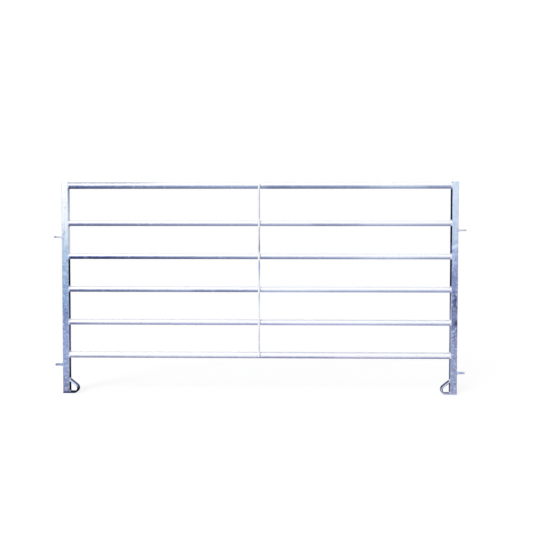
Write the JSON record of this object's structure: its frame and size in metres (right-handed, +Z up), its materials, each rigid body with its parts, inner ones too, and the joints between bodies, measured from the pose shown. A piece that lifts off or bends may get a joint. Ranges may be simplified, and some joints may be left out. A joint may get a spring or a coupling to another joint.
{
  "type": "cattle hurdle",
  "caption": "Galvanised steel livestock hurdle: square end posts, round horizontal rails, an upright centre brace, linking lugs for drop pins and looped flat-bar feet.",
  "frame": {"origin": "on the ground, midway along the hurdle and midway through its overall depth", "axes": "+X along the rails towards the post with the wider-spaced lugs, -Y out of the brace side, +Z up"},
  "size_m": [3.128, 0.0652, 1.612],
  "materials": {
    "post_zinc": "hot-dip galvanised, weathered, satin, with mottled spangle",
    "rail_zinc": "hot-dip galvanised, satin",
    "bar_zinc": "hot-dip galvanised, satin, darker at the edges",
    "weld_zinc": "rippled weld bead under hot-dip zinc"
  },
  "bodies": {
    "root": {"left_post": "post_zinc", "right_post": "post_zinc", "left_post_cap": "post_zinc", "right_post_cap": "post_zinc", "top_rail": "rail_zinc", "second_rail": "rail_zinc", "third_rail": "rail_zinc", "fourth_rail": "rail_zinc", "fifth_rail": "rail_zinc", "bottom_rail": "rail_zinc", "centre_brace": "bar_zinc", "left_upper_lug": "bar_zinc", "left_lower_lug": "bar_zinc", "right_upper_lug": "bar_zinc", "right_lower_lug": "bar_zinc", "left_foot_loop": "bar_zinc", "right_foot_loop": "bar_zinc", "left_rail_welds": "weld_zinc", "right_rail_welds": "weld_zinc", "brace_welds": "weld_zinc", "left_lug_welds": "weld_zinc", "right_lug_welds": "weld_zinc", "left_foot_welds": "weld_zinc", "right_foot_welds": "weld_zinc"}
  },
  "joints": []
}
